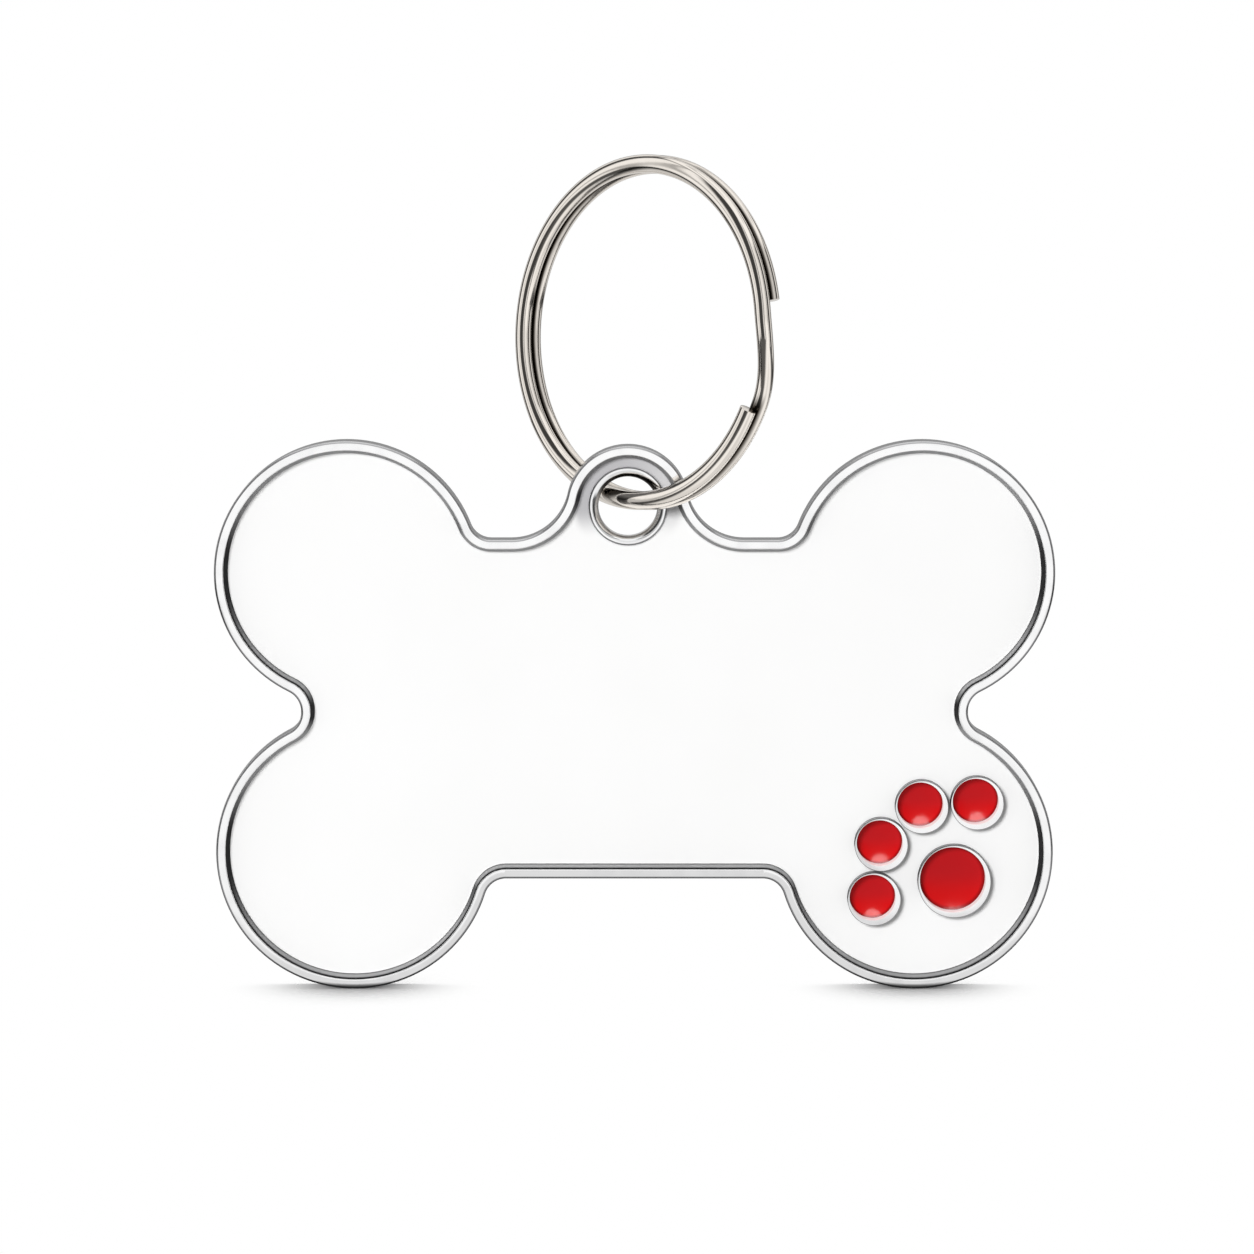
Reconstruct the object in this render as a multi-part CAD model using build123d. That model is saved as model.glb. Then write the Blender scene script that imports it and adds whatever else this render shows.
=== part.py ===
from build123d import *
from math import asin, cos, degrees, radians, sin
import os

# A bone-shaped pet tag that hangs on a split ring. Lengths are in millimetres.
# +Z is up and the tag's face looks towards -Y. The origin lies inside the top of the
# ring, where the link of a collar bears.

# Outline of the tag, measured from the middle of its width and height
tag_width = 38.0
tag_height = 25.0
top_lobe_radius = 6.0
bottom_lobe_radius = 6.25
waist_notch_depth = 3.9
top_edge_height = 8.03
bottom_edge_depth = 7.43
lobe_corner_radius = 1.0
bump_corner_radius = 2.6

# Section of the casting, measured forward from its back face
tag_thickness = 1.4
floor_thickness = 0.45
rim_width = 0.6
rim_bevel = 0.1
rim_slope_width = 0.18
rim_slope_share = 0.95
back_bevel = 0.15

# Eyelet in the bump above the top edge, a little left of the middle
eyelet_offset = -0.3
eyelet_height = 9.5
collar_width = 0.45
collar_rise = 0.16
collar_field_width = 0.4
collar_inner_bevel_share = 0.6
collar_outer_bevel_share = 0.25
throat_back_bevel_share = 0.45

# Paw print of round cups, with the toes in a fan about the pad
pad_right_of_lobe = 1.79
pad_below_lobe = 1.33
pad_cup_diameter = 3.0
toe_cup_diameter = 2.1
cup_wall = 0.16
cup_floor_thickness = 0.3
cup_drop = 0.05
cup_bevel_share = 0.38
toe_gap = 0.1
pad_to_toe_gap = 0.86
toe_count = 4
toe_fan_direction = 133.4

# Enamel fills
field_enamel_depth = 0.25
drop_edge_thickness = 0.34
drop_dish_depth = 0.17
enamel_clearance = 0.02

# Split ring of flattened wire
ring_diameter = 16.0
wire_width = 0.84
wire_thickness = 0.57
wire_bevel = 0.16
turn_gap = 0.06
ring_eyelet_clearance = 0.27
ring_seat_rise = 0.3
ring_turn = 45.0
ring_lean = 6.0
first_end_angle = 17.5
step_start_angle = 342.0
step_end_angle = 374.0
last_end_angle = 700.0
step_section_count = 9

# One overrun serves every cut
cut_overrun = 1.0

# Fit of the bevelled eyelet round the two turns of wire that cross it at an angle
bundle_thickness = 2 * wire_thickness + turn_gap
field_level = floor_thickness + field_enamel_depth
collar_top = field_level + collar_rise
throat_front_bevel = collar_inner_bevel_share * collar_width
throat_back_bevel = throat_back_bevel_share * collar_top
turn_sine = sin(radians(ring_turn))
turn_cosine = cos(radians(ring_turn))
bevel_relief = min(turn_sine, turn_cosine)
throat_span = bundle_thickness + 2 * ring_eyelet_clearance + collar_top * turn_sine
bevel_room = (throat_front_bevel + throat_back_bevel) * bevel_relief
hole_radius = (throat_span - bevel_room) / (2 * turn_cosine)
collar_radius = hole_radius + collar_width
bump_radius = collar_radius + collar_field_width + rim_width

# Depth at which the wire crosses the hole's axis with equal room in front and behind
bevel_shift = (throat_back_bevel - throat_front_bevel) * bevel_relief / turn_sine
ring_depth = (collar_top + bevel_shift) / 2

# Places on the tag
top_lobe_x = tag_width / 2 - top_lobe_radius
top_lobe_y = tag_height / 2 - top_lobe_radius
bottom_lobe_x = tag_width / 2 - bottom_lobe_radius
bottom_lobe_y = bottom_lobe_radius - tag_height / 2
waist_half_width = tag_width / 2 - waist_notch_depth
eyelet = Vector(eyelet_offset, eyelet_height)
rim_slope_depth = rim_slope_share * (tag_thickness - field_level)
cup_top = tag_thickness - cup_drop

# Places on the ring
ring_inner_radius = ring_diameter / 2 - wire_width
ring_middle_radius = ring_diameter / 2 - wire_width / 2
turn_pitch = wire_thickness + turn_gap
ring_up = Vector(0, 0, 1).rotate(Axis.Y, ring_lean)
ring_right = Vector(turn_sine, -turn_cosine, 0).rotate(Axis.Y, ring_lean)
ring_axis = ring_right.cross(ring_up)
ring_centre = ring_up * -ring_inner_radius
wire_at_eyelet = ring_centre - ring_up * ring_middle_radius

# Frame of the tag: x to the right, y up, z forward from the back face
tag_origin = wire_at_eyelet + Vector(-eyelet_offset, ring_depth, -(eyelet_height + ring_seat_rise))
tag_frame = Plane(origin=tag_origin, x_dir=(1, 0, 0), z_dir=(0, -1, 0))
ring_frame = Plane(origin=ring_centre, x_dir=ring_right, z_dir=ring_axis)


# A short tolerance finds edges by their place
place_tolerance = rim_bevel / 10


def near(value, place):
    return abs(value - place) < place_tolerance


# Edges that lie flat at one level of the tag
def level_edges(shape, level):
    boxes = [(edge, edge.bounding_box()) for edge in shape.edges()]
    return [edge for edge, box in boxes if near(box.min.Z, level) and near(box.max.Z, level)]


# Round edges of one radius at one level of the tag
def round_edges(shape, radius, level):
    circles = [edge for edge in level_edges(shape, level) if edge.geom_type == GeomType.CIRCLE]
    return [edge for edge in circles if near(edge.radius, radius)]


# Edges of a shape that lie round one loop of its faces
def loop_edges(shape, loop):
    return [edge for edge in shape.edges() if any(edge.is_same(side) for side in loop.edges())]


# The face of a shape that lies highest
def top_face(shape):
    return shape.faces().sort_by(Axis.Z)[-1]


# Outline of the shank and the eyelet bump. Both are drawn larger by a corner's radius and the
# sum is drawn back in by it, which rounds the corners between them.
def shank_outline():
    height = top_edge_height + bottom_edge_depth
    middle = (top_edge_height - bottom_edge_depth) / 2
    grown = Pos(0, middle) * RectangleRounded(
        2 * (waist_half_width + bump_corner_radius),
        height + 2 * bump_corner_radius,
        bump_corner_radius + lobe_corner_radius,
    )
    grown += Pos(eyelet.X, eyelet.Y) * Circle(bump_radius + bump_corner_radius)
    return offset(grown, -bump_corner_radius)


# Outline of the whole tag: the shank and the four lobes, rounded between in the same way
def bone_outline():
    grown = offset(shank_outline(), lobe_corner_radius)
    for side in (-1, 1):
        top_lobe = Circle(top_lobe_radius + lobe_corner_radius)
        bottom_lobe = Circle(bottom_lobe_radius + lobe_corner_radius)
        grown += Pos(side * top_lobe_x, top_lobe_y) * top_lobe
        grown += Pos(side * bottom_lobe_x, bottom_lobe_y) * bottom_lobe
    return offset(grown, -lobe_corner_radius)


# Places of the cups: the pad, then the toes side by side on a circle about it
def cup_places():
    pad = Vector(bottom_lobe_x + pad_right_of_lobe, bottom_lobe_y - pad_below_lobe)
    toe_outer = toe_cup_diameter + 2 * cup_wall
    pad_outer = pad_cup_diameter + 2 * cup_wall
    reach = (pad_outer + toe_outer) / 2 + pad_to_toe_gap
    step = 2 * degrees(asin((toe_outer + toe_gap) / (2 * reach)))
    first = toe_fan_direction + step * (toe_count - 1) / 2
    places = [(pad, pad_cup_diameter)]
    for toe in range(toe_count):
        angle = radians(first - toe * step)
        places.append((pad + Vector(reach * cos(angle), reach * sin(angle)), toe_cup_diameter))
    return places


# A round post that stands on the tag's back face, or on a given level
def post(place, radius, top, bottom=0):
    return Pos(place.X, place.Y, bottom) * extrude(Circle(radius), top - bottom)


# The casting: plate, border, collar and cups in one piece, with its edges bevelled. The border's
# inner side slopes down to the enamel.
def tag_body(outline, cups):
    body = extrude(outline, tag_thickness)
    body = chamfer(level_edges(body, tag_thickness), rim_bevel)
    body = chamfer(level_edges(body, 0), back_bevel)
    body -= Pos(0, 0, floor_thickness) * extrude(offset(outline, -rim_width), tag_thickness)
    rim = top_face(body)
    inner_edge = loop_edges(body, rim.inner_wires()[0])
    body = chamfer(inner_edge, rim_slope_width, rim_slope_depth, reference=rim)

    body += post(eyelet, collar_radius, collar_top)
    body -= post(eyelet, hole_radius, tag_thickness, -cut_overrun)
    collar_edge = round_edges(body, collar_radius, collar_top)
    body = chamfer(collar_edge, collar_outer_bevel_share * collar_width)
    body = chamfer(round_edges(body, hole_radius, collar_top), throat_front_bevel)
    body = chamfer(round_edges(body, hole_radius, 0), throat_back_bevel)

    for place, diameter in cups:
        body += post(place, diameter / 2 + cup_wall, cup_top)
    for place, diameter in cups:
        body -= post(place, diameter / 2, tag_thickness, cup_floor_thickness)
    return chamfer(level_edges(body, cup_top), cup_bevel_share * cup_wall)


# White enamel that fills the face up to the border, the collar and the cups
def field_enamel(outline, cups):
    fill = extrude(offset(outline, -(rim_width + enamel_clearance)), field_enamel_depth)
    fill = Pos(0, 0, floor_thickness) * fill
    posts = [(eyelet, collar_radius)]
    posts += [(place, diameter / 2 + cup_wall) for place, diameter in cups]
    for place, radius in posts:
        fill -= post(place, radius + enamel_clearance, tag_thickness)
    return fill


# A drop of red enamel in a cup, with the dished top that it sets with
def enamel_drop(place, diameter):
    radius = diameter / 2 - enamel_clearance
    edge = cup_floor_thickness + drop_edge_thickness
    middle = edge - drop_dish_depth
    dish = TangentArc((0, middle), (radius, edge), tangent=(1, 0))
    wall = Line((radius, edge), (radius, cup_floor_thickness))
    base = Line((radius, cup_floor_thickness), (0, cup_floor_thickness))
    axis = Line((0, cup_floor_thickness), (0, middle))
    half = Plane.XZ * make_face([dish, wall, base, axis])
    return Pos(place.X, place.Y, 0) * revolve(half, Axis.Z)


# Section of the wire at an angle round the ring and a height along its axis
def wire_section(angle, height):
    out = Vector(cos(radians(angle)), sin(radians(angle)), 0)
    along = Vector(0, 0, 1).cross(out)
    middle = out * ring_middle_radius + Vector(0, 0, height)
    flat_wire = Rectangle(wire_width, wire_thickness)
    section = chamfer(flat_wire.vertices(), wire_bevel)
    return Plane(origin=middle, x_dir=out, z_dir=along) * section


# The split ring: one flat turn, a step to the next layer, and a second flat turn
def split_ring():
    low = -turn_pitch / 2
    high = turn_pitch / 2
    first_turn = revolve(
        wire_section(first_end_angle, low), Axis.Z, step_start_angle - first_end_angle
    )
    second_turn = revolve(
        wire_section(step_end_angle, high), Axis.Z, last_end_angle - step_end_angle
    )
    sections = []
    for index in range(step_section_count):
        share = index / (step_section_count - 1)
        ease = share * share * (3 - 2 * share)
        angle = step_start_angle + share * (step_end_angle - step_start_angle)
        sections.append(wire_section(angle, low + ease * turn_pitch))
    return first_turn + loft(sections) + second_turn


os.makedirs("parts", exist_ok=True)
bone = bone_outline()
cups = cup_places()
export_step(tag_frame * tag_body(bone, cups), "parts/tag_body.step")
export_step(tag_frame * field_enamel(bone, cups), "parts/field_enamel.step")
export_step(tag_frame * enamel_drop(*cups[0]), "parts/pad_enamel.step")
for number, cup in enumerate(cups[1:], 1):
    export_step(tag_frame * enamel_drop(*cup), f"parts/toe_enamel_{number}.step")
export_step(ring_frame * split_ring(), "parts/split_ring.step")
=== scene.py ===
import math

import bmesh
import bpy
from mathutils import Matrix, Vector


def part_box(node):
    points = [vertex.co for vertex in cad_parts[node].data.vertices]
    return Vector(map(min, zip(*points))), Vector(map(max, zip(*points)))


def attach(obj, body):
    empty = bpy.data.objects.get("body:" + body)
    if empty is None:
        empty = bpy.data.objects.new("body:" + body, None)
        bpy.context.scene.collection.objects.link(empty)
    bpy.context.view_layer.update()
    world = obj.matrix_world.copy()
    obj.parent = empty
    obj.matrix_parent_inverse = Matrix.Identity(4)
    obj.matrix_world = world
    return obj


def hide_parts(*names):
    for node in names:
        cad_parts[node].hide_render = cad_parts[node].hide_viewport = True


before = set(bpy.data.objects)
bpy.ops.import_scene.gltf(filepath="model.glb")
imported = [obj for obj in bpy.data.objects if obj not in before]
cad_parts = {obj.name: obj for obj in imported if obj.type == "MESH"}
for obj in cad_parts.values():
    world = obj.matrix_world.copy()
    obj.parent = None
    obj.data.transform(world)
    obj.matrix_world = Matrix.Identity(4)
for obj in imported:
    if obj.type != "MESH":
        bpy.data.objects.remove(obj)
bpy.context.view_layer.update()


# The tag's blank is bone-shaped: four round lobes, a straight shank between them and a bump at
# the top for the eyelet, with small rounds in the corners. It is drawn flat, in millimetres, as
# arcs that run into each other. The casting and the white enamel both start from it.
TO_METRES = 0.001
LEFT, RIGHT = 1, -1
tag_low, tag_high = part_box("tag_body")
tag_middle = (tag_low + tag_high) / 2
tag_width = (tag_high.x - tag_low.x) / TO_METRES
tag_height = (tag_high.z - tag_low.z) / TO_METRES
tag_thickness = (tag_high.y - tag_low.y) / TO_METRES
top_lobe_radius = 6.0
bottom_lobe_radius = 6.25
waist_inset = 3.9
waist_half_width = tag_width / 2 - waist_inset
top_edge_height = 8.03
bottom_edge_height = -7.43
lobe_corner_radius = 1.0
bump_corner_radius = 2.6
rim_width = 0.6
eyelet = Vector((-0.3, 9.5))
hole_radius = 1.332
collar_width = 0.45
collar_to_rim = 0.4
collar_radius = hole_radius + collar_width
bump_radius = collar_radius + collar_to_rim + rim_width
arc_step = math.radians(3)
fewest_arc_steps = 3
closing_gap = 1e-4


def corner_centre(hub, reach, x=None, y=None, side=1):
    """The centre of a corner's arc, at a given x or y and a reach away from a round's hub."""
    if x is None:
        return Vector((hub.x + side * math.sqrt(reach**2 - (y - hub.y) ** 2), y))
    return Vector((x, hub.y + side * math.sqrt(reach**2 - (x - hub.x) ** 2)))


def side_arcs(side):
    """The arcs of one side, from the bottom edge up to the bump: centre, radius and turn."""
    bottom_x = side * (tag_width / 2 - bottom_lobe_radius)
    bottom_lobe = Vector((bottom_x, bottom_lobe_radius - tag_height / 2))
    bottom_reach = bottom_lobe_radius + lobe_corner_radius
    top_x = side * (tag_width / 2 - top_lobe_radius)
    top_lobe = Vector((top_x, tag_height / 2 - top_lobe_radius))
    top_reach = top_lobe_radius + lobe_corner_radius
    waist_x = side * (waist_half_width + lobe_corner_radius)
    bottom_y = bottom_edge_height - lobe_corner_radius
    top_y = top_edge_height + lobe_corner_radius
    bump_y = top_edge_height + bump_corner_radius
    below_shank = corner_centre(bottom_lobe, bottom_reach, y=bottom_y, side=-side)
    below_waist = corner_centre(bottom_lobe, bottom_reach, x=waist_x)
    above_waist = corner_centre(top_lobe, top_reach, x=waist_x, side=-1)
    above_shank = corner_centre(top_lobe, top_reach, y=top_y, side=-side)
    beside_bump = corner_centre(eyelet, bump_radius + bump_corner_radius, y=bump_y, side=side)
    return [
        (below_shank, lobe_corner_radius, RIGHT),
        (bottom_lobe, bottom_lobe_radius, LEFT),
        (below_waist, lobe_corner_radius, RIGHT),
        (above_waist, lobe_corner_radius, RIGHT),
        (top_lobe, top_lobe_radius, LEFT),
        (above_shank, lobe_corner_radius, RIGHT),
        (beside_bump, bump_corner_radius, RIGHT),
    ]


def leaving(arc, following):
    """The direction from an arc's centre to where the outline leaves it for the next arc."""
    centre, radius, turn = arc
    next_centre, next_radius, next_turn = following
    across = next_centre - centre
    along = across.normalized()
    if turn != next_turn:
        return along
    share = (radius - next_radius) / across.length
    left = Vector((-along.y, along.x))
    return along * share - turn * left * math.sqrt(1 - share**2)


loop = side_arcs(1) + [(eyelet, bump_radius, LEFT)] + side_arcs(-1)[::-1]
right_foot_lobe, left_foot_lobe = loop[1][0], loop[-2][0]
headings = [leaving(arc, following) for arc, following in zip(loop, loop[1:] + loop[:1])]
pen = loop[-1][0] + loop[-1][1] * headings[-1]
bpy.ops.object.select_all(action="DESELECT")
bpy.ops.mesh.primitive_plane_add(size=1)
outline = bpy.context.object
outline.name = "tag_outline"
bpy.ops.object.mode_set(mode="EDIT")
bpy.ops.mesh.select_all(action="SELECT")
bpy.ops.mesh.merge(type="CENTER")
bpy.ops.transform.translate(value=pen.to_3d())
for index, (centre, radius, turn) in enumerate(loop):
    if loop[index - 1][2] == turn:
        move = centre + radius * headings[index - 1] - pen
        bpy.ops.mesh.extrude_region_move(TRANSFORM_OT_translate={"value": move.to_3d()})
        pen = pen + move
    start = math.atan2(pen.y - centre.y, pen.x - centre.x)
    end = math.atan2(headings[index].y, headings[index].x)
    sweep = (turn * (end - start)) % math.tau
    steps = max(fewest_arc_steps, round(sweep / arc_step))
    bpy.ops.mesh.spin(steps=steps, angle=sweep, center=centre.to_3d(), axis=(0, 0, -turn))
    pen = centre + radius * headings[index]
bpy.ops.mesh.select_all(action="SELECT")
bpy.ops.mesh.remove_doubles(threshold=closing_gap)
bpy.ops.mesh.edge_face_add()
bpy.ops.object.mode_set(mode="OBJECT")
if outline.data.polygons[0].normal.z < 0:
    outline.data.flip_normals()


# The casting is zinc alloy, die cast, polished and plated bright. The plate, the raised border
# that slopes down to the enamel, the eyelet's collar and the five cups of the paw print are one
# piece of metal. It is raised from the outline, face up, and stood up in its place at the end.
floor_level = 0.45
field_depth = 0.25
field_level = floor_level + field_depth
rim_outer_rounding = 0.1
rim_inner_rounding = 0.04
rim_slope_width = 0.18
rim_slope_share = 0.95
rim_slope_end = tag_thickness - rim_slope_share * (tag_thickness - field_level)
wall_draft = 0.01
back_rounding = 0.16
collar_height = 0.16
collar_top = field_level + collar_height
collar_rounding = 0.1
throat_front_rounding = 0.31
throat_back_rounding = 0.43
throat_squareness = 1.5
throat_steps = 8
throat_polish = 0.15
cup_below_rim = 0.05
cup_top = tag_thickness - cup_below_rim
cup_floor = 0.3
cup_wall = 0.16
cup_rounding = 0.035
cup_bore_shift = Vector((-0.075, 0.095))
drop_height = 0.34
drop_edge = cup_floor + drop_height
pad_radius = 1.5
toe_radius = 1.05
toe_gap = 0.1
toe_to_pad = 0.86
toe_count = 4
toe_fan_direction = math.radians(133.4)
pad_off_lobe = Vector((1.79, -1.33))
pad = right_foot_lobe + pad_off_lobe
toe_reach = pad_radius + toe_radius + 2 * cup_wall + toe_to_pad
toe_step = 2 * math.asin((toe_radius + cup_wall + toe_gap / 2) / toe_reach)
cups = [(pad, pad_radius)]
for number in range(toe_count):
    angle = toe_fan_direction + toe_step * ((toe_count - 1) / 2 - number)
    spoke = Vector((math.cos(angle), math.sin(angle)))
    cups.append((pad + toe_reach * spoke, toe_radius))
round_sides = 72
most_plain_sides = 8
level_slack = 1e-4
place_slack = 0.01
merge_gap = 1e-5
smooth_angle = math.radians(40)
casting_finishes = (
    "polished face",
    "tumbled side",
    "recess wall",
    "cup lining",
    "brushed back",
    "throat",
)
POLISHED, SIDE, RECESS, LINING, BACK, THROAT = range(len(casting_finishes))


def copy_of(piece, name):
    """A copy of a piece with its own mesh, selected and active."""
    bpy.ops.object.select_all(action="DESELECT")
    piece.select_set(True)
    bpy.context.view_layer.objects.active = piece
    bpy.ops.object.duplicate()
    bpy.context.object.name = name
    return bpy.context.object


def corner(size, steps=5, squareness=2.0):
    """A rounded corner as pairs of lengths, away from its first flat and along it."""
    power = 2 / squareness
    for index in range(1, steps + 1):
        turn = math.pi / 2 * index / steps
        yield size * (1 - math.cos(turn) ** power), size * math.sin(turn) ** power


def raise_by(height):
    """Extrudes what is selected straight up."""
    bpy.ops.mesh.extrude_region_move(TRANSFORM_OT_translate={"value": (0, 0, height)})


def step_in(profile):
    """Carries the selected cap through a profile of (inset, height) pairs."""
    for (inset, height), (next_inset, next_height) in zip(profile, profile[1:]):
        bpy.ops.mesh.inset(thickness=next_inset - inset, depth=next_height - height)


def turn_in(centre, profile):
    """Carries the selected round cap about a centre through (radius, height) pairs."""
    for (radius, height), (next_radius, next_height) in zip(profile, profile[1:]):
        raise_by(next_height - height)
        share = next_radius / radius
        bpy.ops.transform.resize(value=(share, share, 1), center_override=centre.to_3d())


def new_round(centre, radius, height):
    """A filled circle in the mesh that is being edited, selected by itself."""
    bpy.ops.mesh.select_all(action="DESELECT")
    bpy.ops.mesh.primitive_circle_add(
        vertices=round_sides,
        radius=radius,
        fill_type="NGON",
        location=(centre.x, centre.y, height),
    )


def pick_faces(test):
    """Selects the faces of the mesh being edited that pass a test, and no others."""
    bpy.ops.mesh.select_mode(type="FACE")
    bpy.ops.mesh.select_all(action="DESELECT")
    shape = bmesh.from_edit_mesh(bpy.context.object.data)
    for face in shape.faces:
        face.select_set(test(face))
    bmesh.update_edit_mesh(bpy.context.object.data)


def finish_with(slot):
    """Gives the selected faces one of the piece's finishes."""
    bpy.context.object.active_material_index = slot
    bpy.ops.object.material_slot_assign()


def is_level(item, level):
    """Whether a face or an edge lies flat at one level."""
    return all(abs(point.co.z - level) < level_slack for point in item.verts)


def fill_flat(level):
    """Closes the open loops at one level with a flat face, leaving the rounds in it open."""
    bpy.ops.mesh.select_mode(type="EDGE")
    bpy.ops.mesh.select_all(action="DESELECT")
    shape = bmesh.from_edit_mesh(bpy.context.object.data)
    for edge in shape.edges:
        edge.select_set(edge.is_boundary and is_level(edge, level))
    bmesh.update_edit_mesh(bpy.context.object.data)
    bpy.ops.mesh.fill(use_beauty=True)


def is_cap(face):
    """Whether a face is one of the many-sided caps that close a round or an outline."""
    return len(face.verts) > most_plain_sides


def reach_of(face, centre):
    """How far the middle of a face lies from a centre, seen from the front."""
    return (face.calc_center_median().xy - centre).length


def is_round_wall(face, centre, radius):
    """Whether a face stands upright on a circle about a centre."""
    return abs(reach_of(face, centre) - radius) < place_slack and abs(face.normal.z) < 0.1


def is_outer_edge(face, centre, radius):
    """Whether a face belongs to the rounding round the outside of a lip."""
    on_edge = radius - 0.06 < reach_of(face, centre) < radius + place_slack
    return on_edge and 0 < face.normal.z < 0.98


def is_inside(face, centre, radius):
    """Whether a face belongs to the walls or the floor of a cup's bore."""
    height = face.calc_center_median().z
    below_lip = cup_floor - place_slack < height < cup_top - cup_rounding
    return below_lip and reach_of(face, centre + cup_bore_shift) < radius + place_slack


def stand_up(piece):
    """Merges what touches, turns the faces outwards and stands the flat piece up in its place."""
    bpy.ops.mesh.select_all(action="SELECT")
    bpy.ops.mesh.remove_doubles(threshold=merge_gap)
    bpy.ops.mesh.normals_make_consistent(inside=False)
    bpy.ops.object.mode_set(mode="OBJECT")
    piece.scale = (TO_METRES,) * 3
    piece.rotation_euler = (math.pi / 2, 0, 0)
    piece.location = (tag_middle.x, tag_high.y, tag_middle.z)
    bpy.ops.object.transform_apply(location=True, rotation=True, scale=True)
    bpy.ops.object.shade_smooth_by_angle(angle=smooth_angle)


def keep_flats(piece):
    """Takes the shading of edges into the roundings, so that flat faces reflect as flat."""
    evener = piece.modifiers.new("flat faces stay flat", "WEIGHTED_NORMAL")
    evener.keep_sharp = True
    bpy.ops.object.modifier_apply(modifier=evener.name)


casting = copy_of(outline, "tag_casting")
for finish in casting_finishes:
    casting.data.materials.append(bpy.data.materials.new(finish))
bpy.ops.object.mode_set(mode="EDIT")
bpy.ops.mesh.select_mode(type="FACE")
bpy.ops.mesh.select_all(action="SELECT")
finish_with(SIDE)
bpy.ops.transform.translate(value=(0, 0, back_rounding))
raise_by(tag_thickness - back_rounding - rim_outer_rounding)

# Border: over its outer edge, across its face, over its inner edge and down the slope
shoulder = tag_thickness - rim_outer_rounding
outer_edge = [(0, shoulder)]
outer_edge += [(across, shoulder + along) for across, along in corner(rim_outer_rounding)]
step_in(outer_edge)
finish_with(POLISHED)
face_end = rim_width - rim_slope_width - rim_inner_rounding
border_face = [outer_edge[-1], (face_end, tag_thickness)]
for across, along in corner(rim_inner_rounding):
    border_face.append((face_end + along, tag_thickness - across))
step_in(border_face)
finish_with(RECESS)
step_in([border_face[-1], (rim_width, rim_slope_end), (rim_width + wall_draft, floor_level)])
pick_faces(lambda face: is_cap(face) and face.normal.z < 0)
step_in([(0, 0)] + list(corner(back_rounding)))

# Eyelet: up the collar's side, over its lip and down the throat, which opens out at the back
collar_lip = collar_top - collar_rounding
collar = [(collar_radius, floor_level), (collar_radius, collar_lip)]
for across, along in corner(collar_rounding):
    collar.append((collar_radius - across, collar_lip + along))
throat_start = hole_radius + throat_front_rounding
collar.append((throat_start, collar_top))
for across, along in corner(throat_front_rounding, throat_steps, throat_squareness):
    collar.append((throat_start - along, collar_top - across))
collar.append((hole_radius, throat_back_rounding))
for across, along in corner(throat_back_rounding, throat_steps, throat_squareness):
    collar.append((hole_radius + across, throat_back_rounding - along))
new_round(eyelet, collar_radius, floor_level)
finish_with(POLISHED)
turn_in(eyelet, collar)

# Cups: up the outside, over the lip and down the bore to the cup's own floor. The bore lies off
# centre, so the lip is a thin line at the upper left and a broad crescent at the lower right.
cup_lip = cup_top - cup_rounding
for place, radius in cups:
    outer = radius + cup_wall
    profile = [(outer, floor_level), (outer, cup_lip)]
    profile += [(outer - across, cup_lip + along) for across, along in corner(cup_rounding)]
    new_round(place, outer, floor_level)
    finish_with(POLISHED)
    turn_in(place, profile + [(radius, cup_top)])
    bpy.ops.transform.translate(value=cup_bore_shift.to_3d())
    bore = [(radius, cup_top), (radius, drop_edge), (radius, cup_floor)]
    turn_in(place + cup_bore_shift, bore)

# The floor of the recess and the back close the casting, and each face gets its finish
pick_faces(lambda face: is_cap(face) and not is_level(face, cup_floor))
bpy.ops.mesh.delete(type="ONLY_FACE")
fill_flat(floor_level)
fill_flat(0)
pick_faces(lambda face: is_level(face, 0))
finish_with(BACK)
bpy.ops.mesh.region_to_loop()
bpy.ops.mesh.mark_sharp()
pick_faces(lambda face: reach_of(face, eyelet) < throat_start - throat_polish)
finish_with(THROAT)
rounds = [(eyelet, collar_radius)] + [(place, radius + cup_wall) for place, radius in cups]
pick_faces(lambda face: any(is_outer_edge(face, *lip) for lip in rounds))
finish_with(SIDE)
pick_faces(lambda face: any(is_round_wall(face, *wall) for wall in rounds))
finish_with(RECESS)
pick_faces(lambda face: any(is_inside(face, *cup) for cup in cups))
finish_with(LINING)
stand_up(casting)
keep_flats(casting)
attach(casting, "tag")
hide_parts("tag_body")


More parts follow.
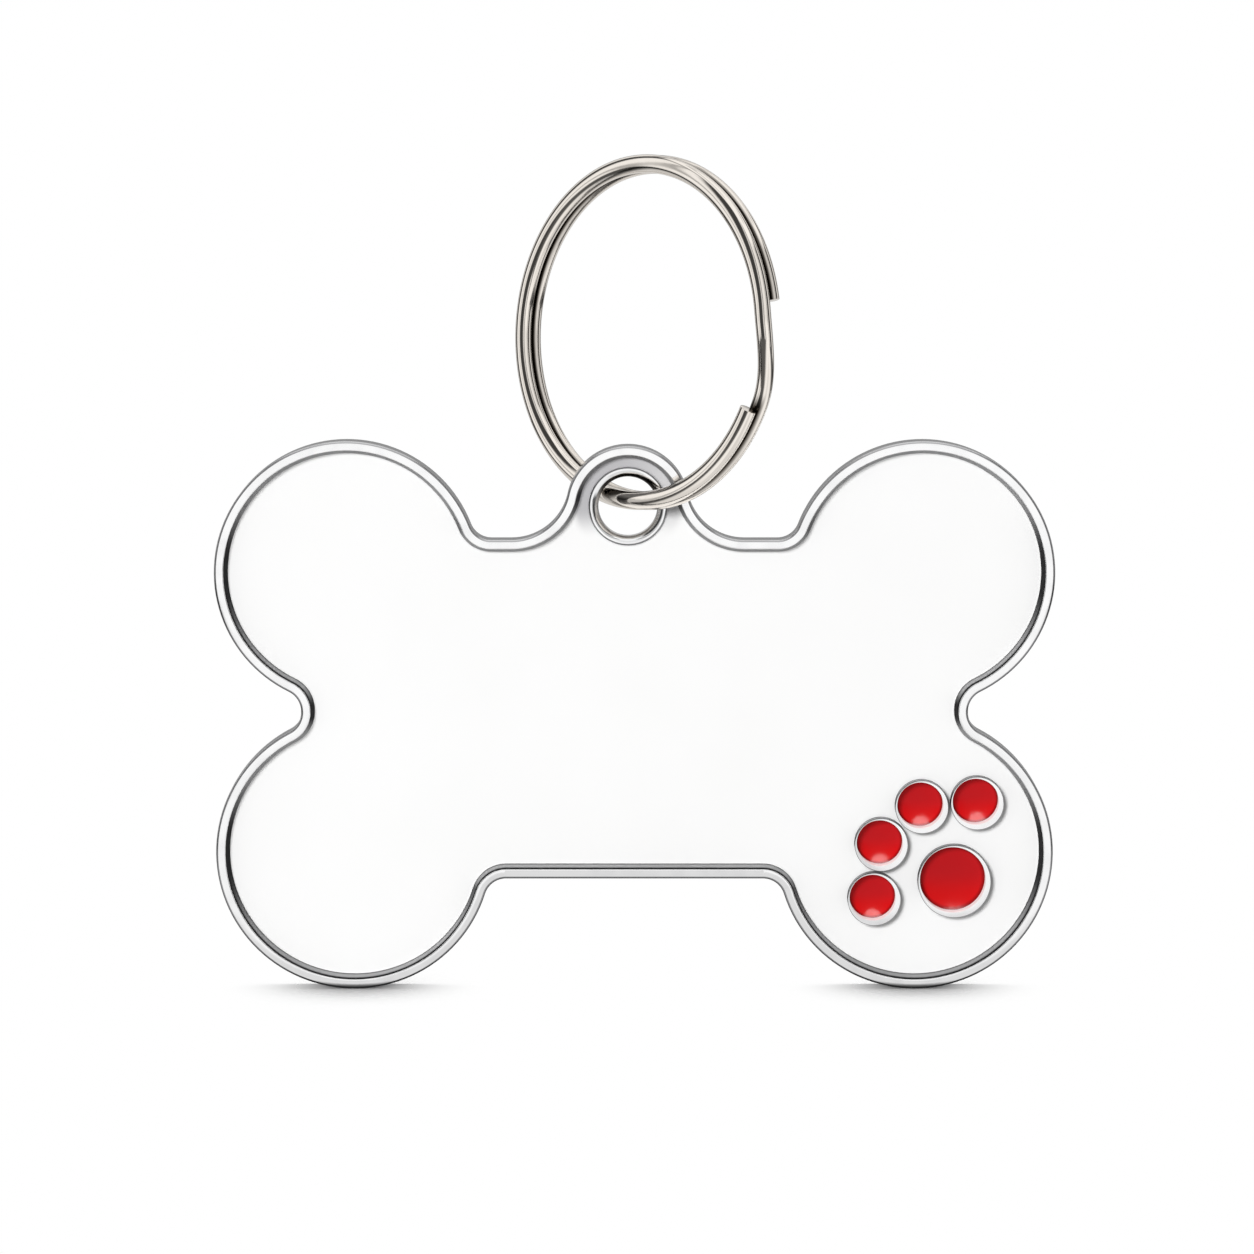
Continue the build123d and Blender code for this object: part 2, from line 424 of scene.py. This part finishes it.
class Value:
    """A socket of a material's nodes. Sums and products of values add Math nodes to it."""

    def __init__(self, tree, socket):
        self.tree = tree
        self.socket = socket

    def node(self, kind, settings={}, inputs={}, output=0):
        """Adds a node with its settings, then its inputs, and gives one of its outputs."""
        made = self.tree.nodes.new(kind)
        for name, setting in settings.items():
            setattr(made, name, setting)
        for name, given in inputs.items():
            if isinstance(given, Value):
                self.tree.links.new(given.socket, made.inputs[name])
            else:
                made.inputs[name].default_value = given
        return Value(self.tree, made.outputs[output] if made.outputs else None)

    def math(self, operation, first, second=0.0):
        """A Math node on numbers or values."""
        return self.node("ShaderNodeMath", {"operation": operation}, {0: first, 1: second})

    def __add__(self, other):
        return self.math("ADD", self, other)

    def __radd__(self, other):
        return self.math("ADD", other, self)

    def __sub__(self, other):
        return self.math("SUBTRACT", self, other)

    def __rsub__(self, other):
        return self.math("SUBTRACT", other, self)

    def __mul__(self, other):
        return self.math("MULTIPLY", self, other)

    def __rmul__(self, other):
        return self.math("MULTIPLY", other, self)

    def between(self, low, high):
        """0 up to the low end, 1 from the high end on, and an eased rise between."""
        settings = {"interpolation_type": "SMOOTHSTEP"}
        inputs = {"Value": self, "From Min": low, "From Max": high}
        return self.node("ShaderNodeMapRange", settings, inputs)

    def blend(self, first, second):
        """One colour where this value is 0 and another where it is 1."""
        inputs = {0: self, 6: first, 7: second}
        return self.node("ShaderNodeMix", {"data_type": "RGBA"}, inputs, 2)

    def mix(self, first, second):
        """One surface where this value is 0 and another where it is 1."""
        return self.node("ShaderNodeMixShader", {}, {0: self, 1: first, 2: second})

    def part(self, axis):
        """The x, y or z of a vector."""
        return self.node("ShaderNodeSeparateXYZ", {}, {0: self}, "XYZ".index(axis))

    def vector_math(self, operation, other):
        """A Vector Math node that gives a number from this vector and another."""
        inputs = {0: self, 1: other}
        return self.node("ShaderNodeVectorMath", {"operation": operation}, inputs, "Value")

    def distance(self, place):
        """How far a point lies from a place."""
        return self.vector_math("DISTANCE", place)

    def facing_up(self):
        """How far the surface faces up, from -1 to 1."""
        return self.node("ShaderNodeTexCoord", output="Normal").part("Z")

    def grain(self, cells, detail=2.0):
        """Soft random variation from 0 to 1, with so many cells to the metre."""
        inputs = {"Vector": self, "Scale": cells, "Detail": detail}
        return self.node("ShaderNodeTexNoise", {}, inputs)

    def stretched(self, scale):
        """The point with each of its axes scaled, which draws a pattern out along the others."""
        return self.node("ShaderNodeMapping", {}, {"Vector": self, "Scale": scale})

    def relief(self, distance):
        """A normal for a surface that rises by this value times a distance."""
        return self.node("ShaderNodeBump", {}, {"Height": self, "Distance": distance})


def start_finish(material):
    """Empties a material's nodes and gives the point on the piece, in metres, as a value."""
    material.use_nodes = True
    material.node_tree.nodes.clear()
    return Value(material.node_tree, None).node("ShaderNodeTexCoord", output="Object")


def end_finish(point, **inputs):
    """Ends a material in a surface with these inputs."""
    named = {}
    for name, given in inputs.items():
        named[name.replace("_", " ").title().replace("Ior", "IOR")] = given
    surface = point.node("ShaderNodeBsdfPrincipled", {}, named)
    point.node("ShaderNodeOutputMaterial", {}, {"Surface": surface})


# Polished face: a mirror with the slight waviness of a buffed casting and a faint haze
mirror_bright = (0.97, 0.97, 0.972, 1)
mirror_hazy = (0.9, 0.9, 0.905, 1)
buffed = start_finish(casting.data.materials[POLISHED])
haze = buffed.grain(900).between(0.35, 0.75)
waves = buffed.grain(1400) * 0.7 + buffed.grain(9000) * 0.3
end_finish(
    buffed,
    base_color=haze.blend(mirror_bright, mirror_hazy),
    metallic=1.0,
    roughness=0.06 + 0.06 * haze,
    normal=waves.relief(3e-6),
)

# Sides: duller than the face from tumbling; their colour is painted shade, darkest facing down
side_painted_shade = (0.16, 0.16, 0.165, 1)
side_painted_light = (0.66, 0.66, 0.67, 1)
tumbled_and_shaded = start_finish(casting.data.materials[SIDE])
end_finish(
    tumbled_and_shaded,
    base_color=tumbled_and_shaded.facing_up().between(-0.9, 0.9).blend(side_painted_shade, side_painted_light),
    metallic=1.0,
    roughness=0.14 + 0.1 * tumbled_and_shaded.grain(4000),
)

# Throat of the eyelet: painted shade, dark under its roof, and painted light where it faces up
throat_painted_shade = (0.03, 0.028, 0.026, 1)
throat_painted_light = (0.8, 0.8, 0.8, 1)
throat_shading = start_finish(casting.data.materials[THROAT])
end_finish(
    throat_shading,
    base_color=throat_shading.facing_up().between(-0.5, 0.1).blend(throat_painted_shade, throat_painted_light),
    metallic=1.0,
    roughness=0.15 + 0.15 * throat_shading.grain(4000),
)

# Walls of the recess: dull, as the buff doesn't reach them. Their colour is painted shade, near
# black at the top and towards the sides, with painted light, a lighter grey, on the stretches
# that face up or down.
wall_painted_shade = (0.012, 0.012, 0.013, 1)
wall_painted_light = (0.42, 0.42, 0.425, 1)
walls = start_finish(casting.data.materials[RECESS])
upwards = walls.facing_up().between(0.15, 0.7)
downwards = (-1 * walls.facing_up()).between(0.15, 0.7)
wall_top = tag_low.y + rim_inner_rounding * TO_METRES
wall_end = tag_low.y + (tag_thickness - field_level) * TO_METRES
wall_height = wall_end - wall_top
depth = walls.part("Y")
below_top = depth.between(wall_top + 0.2 * wall_height, wall_top + 0.45 * wall_height)
above_enamel = 1 - depth.between(wall_top + 0.65 * wall_height, wall_end)
painted_wall_lightness = upwards * below_top * above_enamel + downwards * 0.95
end_finish(
    walls,
    base_color=painted_wall_lightness.blend(wall_painted_shade, wall_painted_light),
    roughness=0.45 + 0.2 * walls.grain(3000),
    specular_ior_level=0.02,
)

# Bores of the cups: a coat of the white enamel stays on them above the red. Its cool tint and
# its faint glow are painted light that keeps the red's bounce from tinting it.
coat_light = (0.68, 0.74, 0.74, 1)
coat_dark = (0.64, 0.7, 0.7, 1)
glowing_coat = start_finish(casting.data.materials[LINING])
end_finish(
    glowing_coat,
    base_color=glowing_coat.grain(2000).blend(coat_light, coat_dark),
    roughness=0.12 + 0.1 * glowing_coat.grain(4000),
    # Painted light: the coat glows faintly, though it is no lamp
    emission_color=(1, 1, 1, 1),
    emission_strength=0.4,
)

# Back: brushed across its width before plating, which leaves fine straight scratches
back_dark = (0.74, 0.74, 0.75, 1)
back_light = (0.86, 0.86, 0.865, 1)
scratch_cells = (400, 400, 22000)
brushed = start_finish(casting.data.materials[BACK])
scratches = brushed.stretched(scratch_cells).grain(1, 3.0)
end_finish(
    brushed,
    base_color=scratches.blend(back_dark, back_light),
    metallic=1.0,
    roughness=0.2 + 0.16 * scratches,
    normal=scratches.relief(2e-6),
)


# The face is filled with white enamel, poured into the recess and fired. It lies flat, and
# climbs a little where it wets the border and the collar.
meniscus = 0.05
meniscus_width = 0.1
meniscus_steps = 6
meniscus_power = 2.5
wetting = 0.01
edge_profile = []
for index in range(meniscus_steps + 1):
    away = index / meniscus_steps
    climb = meniscus * (1 - away) ** meniscus_power
    edge_profile.append((meniscus_width * away, field_level + climb))

field = copy_of(outline, "field_fill")
field.data.materials.append(bpy.data.materials.new("white enamel"))
bpy.ops.object.mode_set(mode="EDIT")
bpy.ops.mesh.select_mode(type="FACE")
bpy.ops.mesh.select_all(action="SELECT")
bpy.ops.mesh.inset(thickness=rim_width - wetting, depth=0)
bpy.ops.mesh.select_all(action="INVERT")
bpy.ops.mesh.delete(type="FACE")
bpy.ops.mesh.select_all(action="SELECT")
bpy.ops.transform.translate(value=(0, 0, floor_level))
raise_by(edge_profile[0][1] - floor_level)
step_in(edge_profile)
collar_side = collar_radius - wetting
collar_climb = [(collar_side + away, height) for away, height in edge_profile[::-1]]
new_round(eyelet, *collar_climb[0])
turn_in(eyelet, collar_climb + [(collar_side, floor_level)])
for place, radius in cups:
    cup_side = radius + cup_wall - wetting
    new_round(place, cup_side, field_level)
    turn_in(place, [(cup_side, field_level), (cup_side, floor_level)])
pick_faces(is_cap)
bpy.ops.mesh.delete(type="ONLY_FACE")
fill_flat(field_level)
fill_flat(floor_level)
stand_up(field)
keep_flats(field)
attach(field, "tag")
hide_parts("field_enamel")
bpy.data.objects.remove(outline)

# White enamel: glossy, with a faint ripple from firing. Round the eyelet and above it, the
# enamel is coloured grey, most of all at the left.
white_light = (0.95, 0.95, 0.95, 1)
white_dark = (0.92, 0.92, 0.915, 1)
white_greyed = (0.5, 0.495, 0.51, 1)
grey_reach = (0.0023, 0.0027)
grey_rise = (-0.0015, -0.0001)
grey_fade = (-0.0005, 0.0026)
face_middle = Vector((tag_middle.x, tag_low.y, tag_middle.z))
eyelet_place = face_middle + TO_METRES * Vector((eyelet.x, 0, eyelet.y))
white = start_finish(field.data.materials[0])
near_eyelet = 1 - white.distance(eyelet_place).between(*grey_reach)
above = (white.part("Z") - eyelet_place.z).between(*grey_rise)
leftwards = 1 - (white.part("X") - eyelet_place.x).between(*grey_fade)
eyelet_grey = near_eyelet * above * (0.55 + 0.45 * leftwards)
fired = white.grain(180).blend(white_light, white_dark)
ripple = white.grain(350) * 0.8 + white.grain(2500) * 0.2
end_finish(
    white,
    base_color=eyelet_grey.blend(fired, white_greyed),
    roughness=0.1 + 0.06 * white.grain(1200),
    normal=ripple.relief(4e-6),
    specular_ior_level=0.4,
)


# Each cup holds a drop of red enamel. It shrinks as it sets, so its top is dished, with the
# edge drawn up where it wets the bore. The red is clear over the metal, and deepest at the
# edge, where it is thick.
drop_dish = 0.17
dish_rings = 16
# The darker upper part and brighter lower part of the red are painted shade and painted light
red_top_painted_shade = (0.42, 0.008, 0.011, 1)
red_bottom_painted_light = (0.52, 0.005, 0.006, 1)
red_deep = (0.2, 0.003, 0.004, 1)
drop_names = [("pad", "pad_enamel")]
drop_names += [(f"toe_{count}", f"toe_enamel_{count}") for count in range(1, toe_count + 1)]
drops = bpy.data.collections.new("drops of red enamel")
for (name, node), (cup_place, radius) in zip(drop_names, cups):
    place = cup_place + cup_bore_shift
    bpy.ops.object.select_all(action="DESELECT")
    bpy.ops.mesh.primitive_circle_add(
        vertices=round_sides, radius=radius + wetting / 2, fill_type="NGON", location=(0, 0, 0)
    )
    drop = bpy.context.object
    drop.name = f"{name}_drop"
    drops.objects.link(drop)
    drop.data.materials.append(bpy.data.materials.new(f"red enamel of {name}"))
    bpy.ops.object.mode_set(mode="EDIT")
    bpy.ops.mesh.select_all(action="SELECT")
    bpy.ops.transform.translate(value=(place.x, place.y, cup_floor))
    profile = [(radius, cup_floor), (radius, drop_edge)]
    for ring_index in range(1, dish_rings):
        share = 1 - ring_index / dish_rings
        profile.append((radius * share, drop_edge - drop_dish * (1 - share**2)))
    turn_in(place, profile)
    stand_up(drop)
    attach(drop, "tag")
    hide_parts(node)

    red = start_finish(drop.data.materials[0])
    radii = 1 / (radius * TO_METRES)
    drop_place = face_middle + TO_METRES * Vector((place.x, tag_thickness - drop_edge, place.y))
    thick = (radii * red.distance(drop_place)).between(0.86, 0.99)
    # Painted light and shade: the red is brighter towards the bottom of the drop
    painted_light_below = 1 - (radii * (red.part("Z") - drop_place.z)).between(-0.6, 0.2)
    end_finish(
        red,
        base_color=thick.blend(painted_light_below.blend(red_top_painted_shade, red_bottom_painted_light), red_deep),
        roughness=0.11 + 0.05 * red.grain(3000),
        specular_ior_level=0.06,
    )


# The split ring is nearly two turns of flattened spring steel wire, nickel-plated. They lie in
# two layers, with a step where the wire goes from one to the other, and both ends are cut off.
ring_diameter = 16.0
wire_width = 0.84
wire_thickness = 0.59
wire_sides = 40
turn_gap = 0.04
turn_pitch = wire_thickness + turn_gap
ring_inner_radius = ring_diameter / 2 - wire_width
ring_middle_radius = (ring_diameter - wire_width) / 2
first_end = math.radians(17.5)
step_start = math.radians(342)
step_end = math.radians(374)
last_end = math.radians(700)
step_count = 24
turn_count = 160
end_rounding = [(0.03, 0.012), (0.05, 0.006)]
ring_turn = math.radians(45)
ring_lean = math.radians(6)


def wind(angle, count):
    """Carries the selected section of the wire on round the ring's axis."""
    bpy.ops.mesh.spin(steps=count, angle=angle, center=(0, 0, 0), axis=(0, 0, -1))


def eased(share):
    """A share of a move that starts and ends gently."""
    return share * share * (3 - 2 * share)


bpy.ops.object.select_all(action="DESELECT")
bpy.ops.mesh.primitive_circle_add(vertices=wire_sides, radius=0.5)
ring = bpy.context.object
ring.name = "wire_ring"
ring.data.materials.append(bpy.data.materials.new("nickel wire"))
bpy.ops.object.mode_set(mode="EDIT")
bpy.ops.mesh.select_all(action="SELECT")
bpy.ops.transform.resize(value=(wire_width, wire_thickness, 1), center_override=(0, 0, 0))
bpy.ops.object.mode_set(mode="OBJECT")
upright_section = Matrix.Rotation(math.pi / 2, 4, "X")
beside_axis = Matrix.Translation((ring_middle_radius, 0, -turn_pitch / 2))
ring.data.transform(Matrix.Rotation(first_end, 4, "Z") @ beside_axis @ upright_section)
bpy.ops.object.mode_set(mode="EDIT")
bpy.ops.mesh.select_all(action="SELECT")
wind(step_start - first_end, turn_count)
for index in range(step_count):
    wind((step_end - step_start) / step_count, 1)
    rise = eased((index + 1) / step_count) - eased(index / step_count)
    bpy.ops.transform.translate(value=(0, 0, turn_pitch * rise))
wind(last_end - step_end, turn_count)
bpy.ops.mesh.select_mode(type="EDGE")
bpy.ops.mesh.select_all(action="DESELECT")
bpy.ops.mesh.select_non_manifold(extend=False)
bpy.ops.mesh.edge_face_add()
bpy.ops.mesh.select_all(action="SELECT")
bpy.ops.mesh.remove_doubles(threshold=merge_gap)
bpy.ops.mesh.normals_make_consistent(inside=False)
pick_faces(is_cap)
for inset, rise in end_rounding:
    bpy.ops.mesh.inset(thickness=inset, depth=rise)
bpy.ops.object.mode_set(mode="OBJECT")
ring_up = Vector((math.sin(ring_lean), 0, math.cos(ring_lean)))
placing = Matrix.Rotation(ring_lean, 4, "Y") @ Matrix.Rotation(ring_turn - math.pi / 2, 4, "Z")
placing = placing @ Matrix.Rotation(math.pi / 2, 4, "X")
ring.matrix_world = Matrix.Translation(-ring_inner_radius * TO_METRES * ring_up) @ placing
ring.scale = (TO_METRES,) * 3
bpy.ops.object.transform_apply(location=True, rotation=True, scale=True)
bpy.ops.object.shade_smooth_by_angle(angle=smooth_angle)
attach(ring, "ring")
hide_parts("split_ring")

# Nickel: a warm grey mirror, slightly uneven from drawing and plating. The groove between the
# turns is dark, partly with dirt and partly with painted shade. The step has no groove.
nickel_light = (0.97, 0.915, 0.85, 1)
nickel_dark = (0.87, 0.81, 0.74, 1)
grime_and_painted_shade = (0.06, 0.05, 0.04, 1)
groove_width = (0.00008, 0.0002)
step_length = (0.0015, 0.0023)
nickel = start_finish(ring.data.materials[0])
plating = nickel.grain(700).blend(nickel_light, nickel_dark)
ring_axis = (placing @ Vector((0, 0, 1))).normalized()
groove_middle = -ring_inner_radius * TO_METRES * ring_up.dot(ring_axis)
across_turns = nickel.vector_math("DOT_PRODUCT", ring_axis)
from_groove = nickel.math("ABSOLUTE", across_turns - groove_middle)
step_angle = (step_start + step_end) / 2
step_way = placing @ Vector((math.cos(step_angle), math.sin(step_angle), 0))
step_place = (ring_middle_radius * step_way - ring_inner_radius * ring_up) * TO_METRES
off_step = nickel.distance(step_place).between(*step_length)
shaded_groove = off_step * (1 - from_groove.between(*groove_width))
end_finish(
    nickel,
    base_color=shaded_groove.blend(plating, grime_and_painted_shade),
    metallic=1.0,
    roughness=0.05 + 0.06 * nickel.grain(2500),
    normal=nickel.grain(900).relief(3e-6),
)


# The set: a round white table that the lobes stand on, in a white room. The metal also sees the
# dark flags that stand at the sides and overhead, which give it its black lines.
table_radius = 0.13
table_sides = 128
bpy.ops.object.select_all(action="DESELECT")
bpy.ops.mesh.primitive_circle_add(
    vertices=table_sides, radius=table_radius, fill_type="NGON", location=(0, 0, tag_low.z)
)
bpy.ops.object.transform_apply(location=True)
table = bpy.context.object
table.name = "table"
table.data.materials.append(bpy.data.materials.new("white table"))


def seen_by(value, *rays):
    """1 for the named kinds of rays, and 0 for the others."""
    total = sum(value.node("ShaderNodeLightPath", output=f"Is {ray} Ray") for ray in rays)
    return value.math("MINIMUM", total, 1.0)


# Table: matte round the two lobes that it carries, where their shadows lie. The rest of it is as
# white as the room, so a tag that swings below its level is still seen whole.
matte_grey = (0.42, 0.42, 0.42, 1)
glow_level = 0.35
shadow_reach = 0.007
ground = start_finish(table.data.materials[0])
matte = ground.node("ShaderNodeBsdfDiffuse", {}, {"Color": matte_grey})
glow = ground.node("ShaderNodeEmission", {}, {"Strength": glow_level})
open_air = ground.node("ShaderNodeBsdfTransparent")
plain = seen_by(ground, "Camera", "Transmission", "Shadow").mix(glow, open_air)
feet = []
for lobe in (right_foot_lobe, left_foot_lobe):
    foot = Vector((tag_middle.x + lobe.x * TO_METRES, tag_middle.y, tag_low.z))
    feet.append(1 - ground.distance(foot).between(0, shadow_reach))
clear = 1 - (feet[0] * feet[0] + feet[1] * feet[1])

# The metal sees the table dark under the tag, a painted shadow, light in front of it and
# behind it, with two white cards that lie in front of the lobes
painted_shadow_level = 0.08
front_level = 0.66
card_level = 0.26
rear_level = 0.6
ahead = tag_low.y - ground.part("Y")
aside = ground.math("ABSOLUTE", ground.part("X"))
cards = 0.8 * aside.between(0.0095, 0.0125) * ahead.between(0.006, 0.022)
far = ahead.between(0.03, 0.1)
ahead_look = painted_shadow_level + front_level * ahead.between(0.0003, 0.0015)
ahead_look = ahead_look + card_level * (far + (1 - far) * cards)
rear = (-1 * ahead).between(0.004, 0.02) * (1 - aside.between(0.06, 0.1))
mirror_level = ahead_look * (1 - 0.9 * aside.between(0.03, 0.06)) + rear_level * rear
mirror_look = ground.node("ShaderNodeEmission", {}, {"Strength": mirror_level})
table_look = seen_by(ground, "Glossy").mix(clear.mix(matte, plain), mirror_look)
ground.node("ShaderNodeOutputMaterial", {}, {"Surface": table_look})

# Room: plain white, but the metal sees it dark with white panels in front, at the sides, behind
# and overhead. Thin flags hang in front of the panels.
room_level = 0.26
flag_level = 0.05
straight_behind = (0, 1, -0.11)
world = bpy.data.worlds.new("white room")
bpy.context.scene.world = world
world.use_nodes = True
world.node_tree.nodes.clear()
room = Value(world.node_tree, None)
sight = room.node("ShaderNodeTexCoord", output="Generated")
sight_height = sight.part("Z")
sight_bearing = room.math("ARCTAN2", sight.part("X"), -1 * sight.part("Y"))


def panel(middle, half_width, softness=5.0):
    """1 across a panel at a bearing from the front, in degrees, and 0 outside it."""
    start, end = math.radians(middle - half_width), math.radians(middle + half_width)
    soft = math.radians(softness)
    begun = sight_bearing.between(start - soft, start + soft)
    return begun * (1 - sight_bearing.between(end - soft, end + soft))


front = panel(0, 38, 7) - 0.85 * (panel(-25, 4, 3) + panel(25, 4, 3))
front = front * (1 - 0.15 * sight_height.between(0.0, 0.12))
left = 0.95 * panel(-92, 16) - 0.6 * panel(-88, 2, 2)
right = 0.85 * panel(92, 16) - 0.5 * panel(97, 3, 3)
turned_away = room.math("ABSOLUTE", sight_bearing)
behind = turned_away.between(math.radians(125), math.radians(140))
behind = behind * (0.3 + 0.5 * sight.distance(straight_behind).between(0.5, 0.75))
level_part = sight_height.between(-0.35, -0.15) * (1 - sight_height.between(0.7, 0.8))
overhead_flag = sight_height.between(0.9, 0.92) * (1 - sight_height.between(0.94, 0.96))
overhead = sight_height.between(0.75, 0.85) - 0.4 * overhead_flag
panels = room.math("MINIMUM", front + level_part * (left + right + behind) + overhead, 1.0)
in_metal = seen_by(room, "Glossy")
in_view = seen_by(room, "Camera", "Transmission")
metal_level = flag_level + (1 - flag_level) * panels
other_level = room_level + (1 - room_level) * in_view
level = in_metal * metal_level + (1 - in_metal) * other_level
air = room.node("ShaderNodeBackground", {}, {"Color": (1, 1, 1, 1), "Strength": level})
room.node("ShaderNodeOutputWorld", {}, {"Surface": air})


def add_lamp(name, bearing, elevation, distance, size, power):
    """A softbox that looks at the tag from a bearing and an elevation, in degrees."""
    lamp = bpy.data.lights.new(name, "AREA")
    lamp.shape = "ELLIPSE"
    lamp.size, lamp.size_y = size
    lamp.energy = power
    holder = bpy.data.objects.new(name, lamp)
    bpy.context.scene.collection.objects.link(holder)
    turn, rise = math.radians(bearing), math.radians(elevation)
    outwards = Vector((math.sin(turn), -math.cos(turn), 0))
    away = math.cos(rise) * outwards + Vector((0, 0, math.sin(rise)))
    holder.location = tag_middle + distance * away
    holder.rotation_euler = (-away).to_track_quat("-Z", "Y").to_euler()
    return holder


# The key lights the face, the top softbox casts the shadows under the lobes, and the third is
# seen in the red enamel alone
key = add_lamp("key softbox", -16, 16, 0.8, (0.22, 0.22), 5.2)
key.visible_glossy = False
top = add_lamp("top softbox", 180, 81, 0.21, (0.1, 0.1), 1.05)
top.visible_glossy = False
sparkle = add_lamp("softbox for the red enamel", 4, 23, 0.25, (0.11, 0.1), 1.15)
sparkle.visible_diffuse = False
sparkle.light_linking.receiver_collection = drops

# The camera stands straight in front of the tag and a little above it
camera_distance = 0.25
camera_elevation = math.radians(6.5)
frame_pixels = 1254
pixels_per_metre = 22130
camera_aim = face_middle + Vector((-0.00034, 0, 0.00408))
camera_data = bpy.data.cameras.new("camera")
camera_data.sensor_width = 36
camera_data.lens = camera_data.sensor_width * pixels_per_metre * camera_distance / frame_pixels
camera_data.clip_start = 0.01
camera = bpy.data.objects.new("camera", camera_data)
bpy.context.scene.collection.objects.link(camera)
looking = Vector((0, math.cos(camera_elevation), -math.sin(camera_elevation)))
camera.location = camera_aim - camera_distance * looking
camera.rotation_euler = looking.to_track_quat("-Z", "Y").to_euler()
bpy.context.scene.camera = camera
bpy.context.scene.view_settings.view_transform = "Standard"
